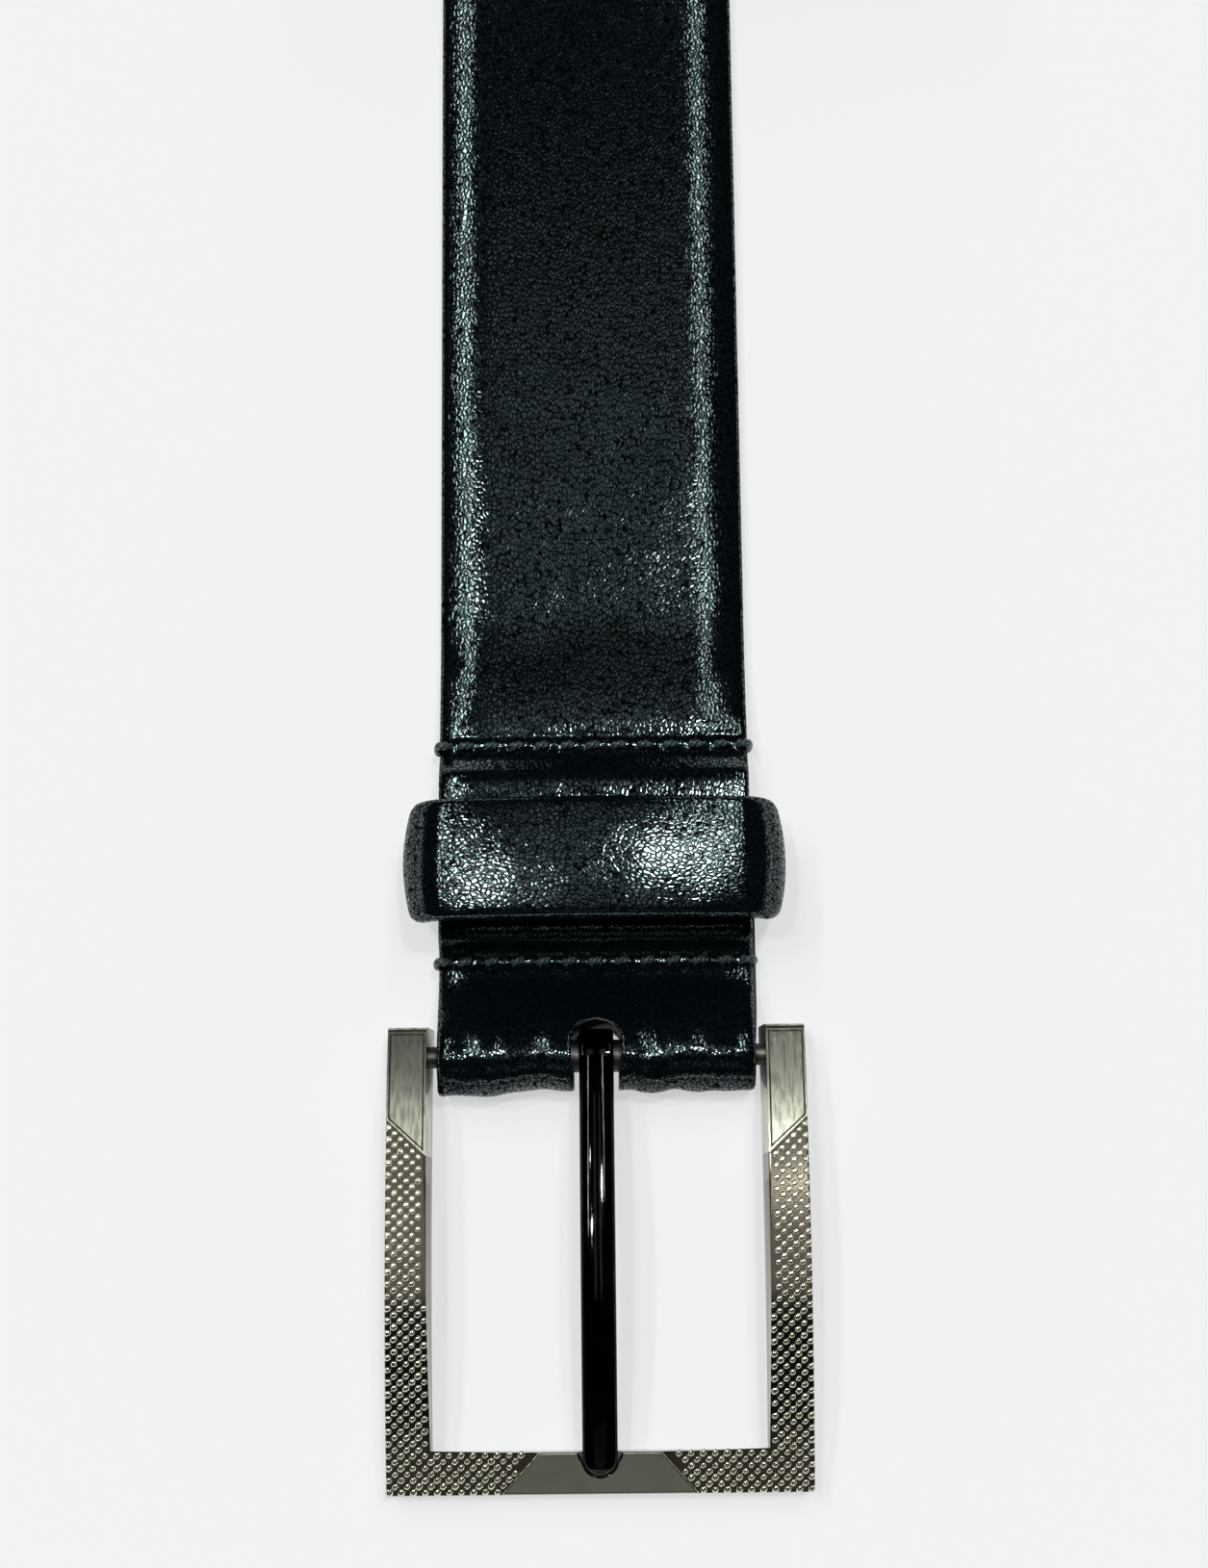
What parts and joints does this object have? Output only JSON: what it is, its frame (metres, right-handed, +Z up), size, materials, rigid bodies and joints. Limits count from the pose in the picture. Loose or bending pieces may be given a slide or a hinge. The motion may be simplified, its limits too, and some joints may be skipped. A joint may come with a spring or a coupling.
{
  "type": "leather belt",
  "caption": "Black dress belt with a knurled frame buckle and pin, a stitched-in sliding keeper, sizing holes and a rounded tip, its far end rolled up.",
  "frame": {"origin": "under the middle of the whole part's box, on the surface that it lies on", "axes": "+Y from the buckle towards the roll, +X across the strap, +Z up"},
  "size_m": [0.046, 0.2713, 0.0731],
  "materials": {
    "face_leather": "black grained dress leather, glossy",
    "lining_leather": "smooth dark lining leather, satin",
    "filler_board": "bonded leather-fibre filler, matte",
    "thread": "waxed black twisted thread",
    "nickel": "pale nickel plating, brushed and knurled",
    "black_nickel": "gloss black nickel plating"
  },
  "bodies": {
    "strap": {"strap_face": "face_leather", "strap_filler": "filler_board", "strap_lining": "lining_leather", "front_row_thread": "thread", "rear_row_thread": "thread"},
    "keeper": {"keeper_cover": "face_leather", "keeper_filler": "filler_board", "keeper_lining": "lining_leather", "keeper_staple": "nickel"},
    "buckle": {"buckle_frame": "nickel", "buckle_bar": "nickel"},
    "prong": {"prong": "black_nickel"}
  },
  "joints": [
    {"name": "frame_swing", "type": "hinge", "parent": "strap", "child": "buckle", "pos_m": [0, -0.08875, 0.004], "axis": [1, 0, 0], "range_deg": [-40, 45]},
    {"name": "prong_swing", "type": "hinge", "parent": "buckle", "child": "prong", "pos_m": [0, -0.08875, 0.004], "axis": [1, 0, 0], "range_deg": [-40, 0]},
    {"name": "keeper_slide", "type": "slide", "parent": "strap", "child": "keeper", "axis": [0, 1, 0], "range_m": [-0.002, 0.0048]}
  ]
}
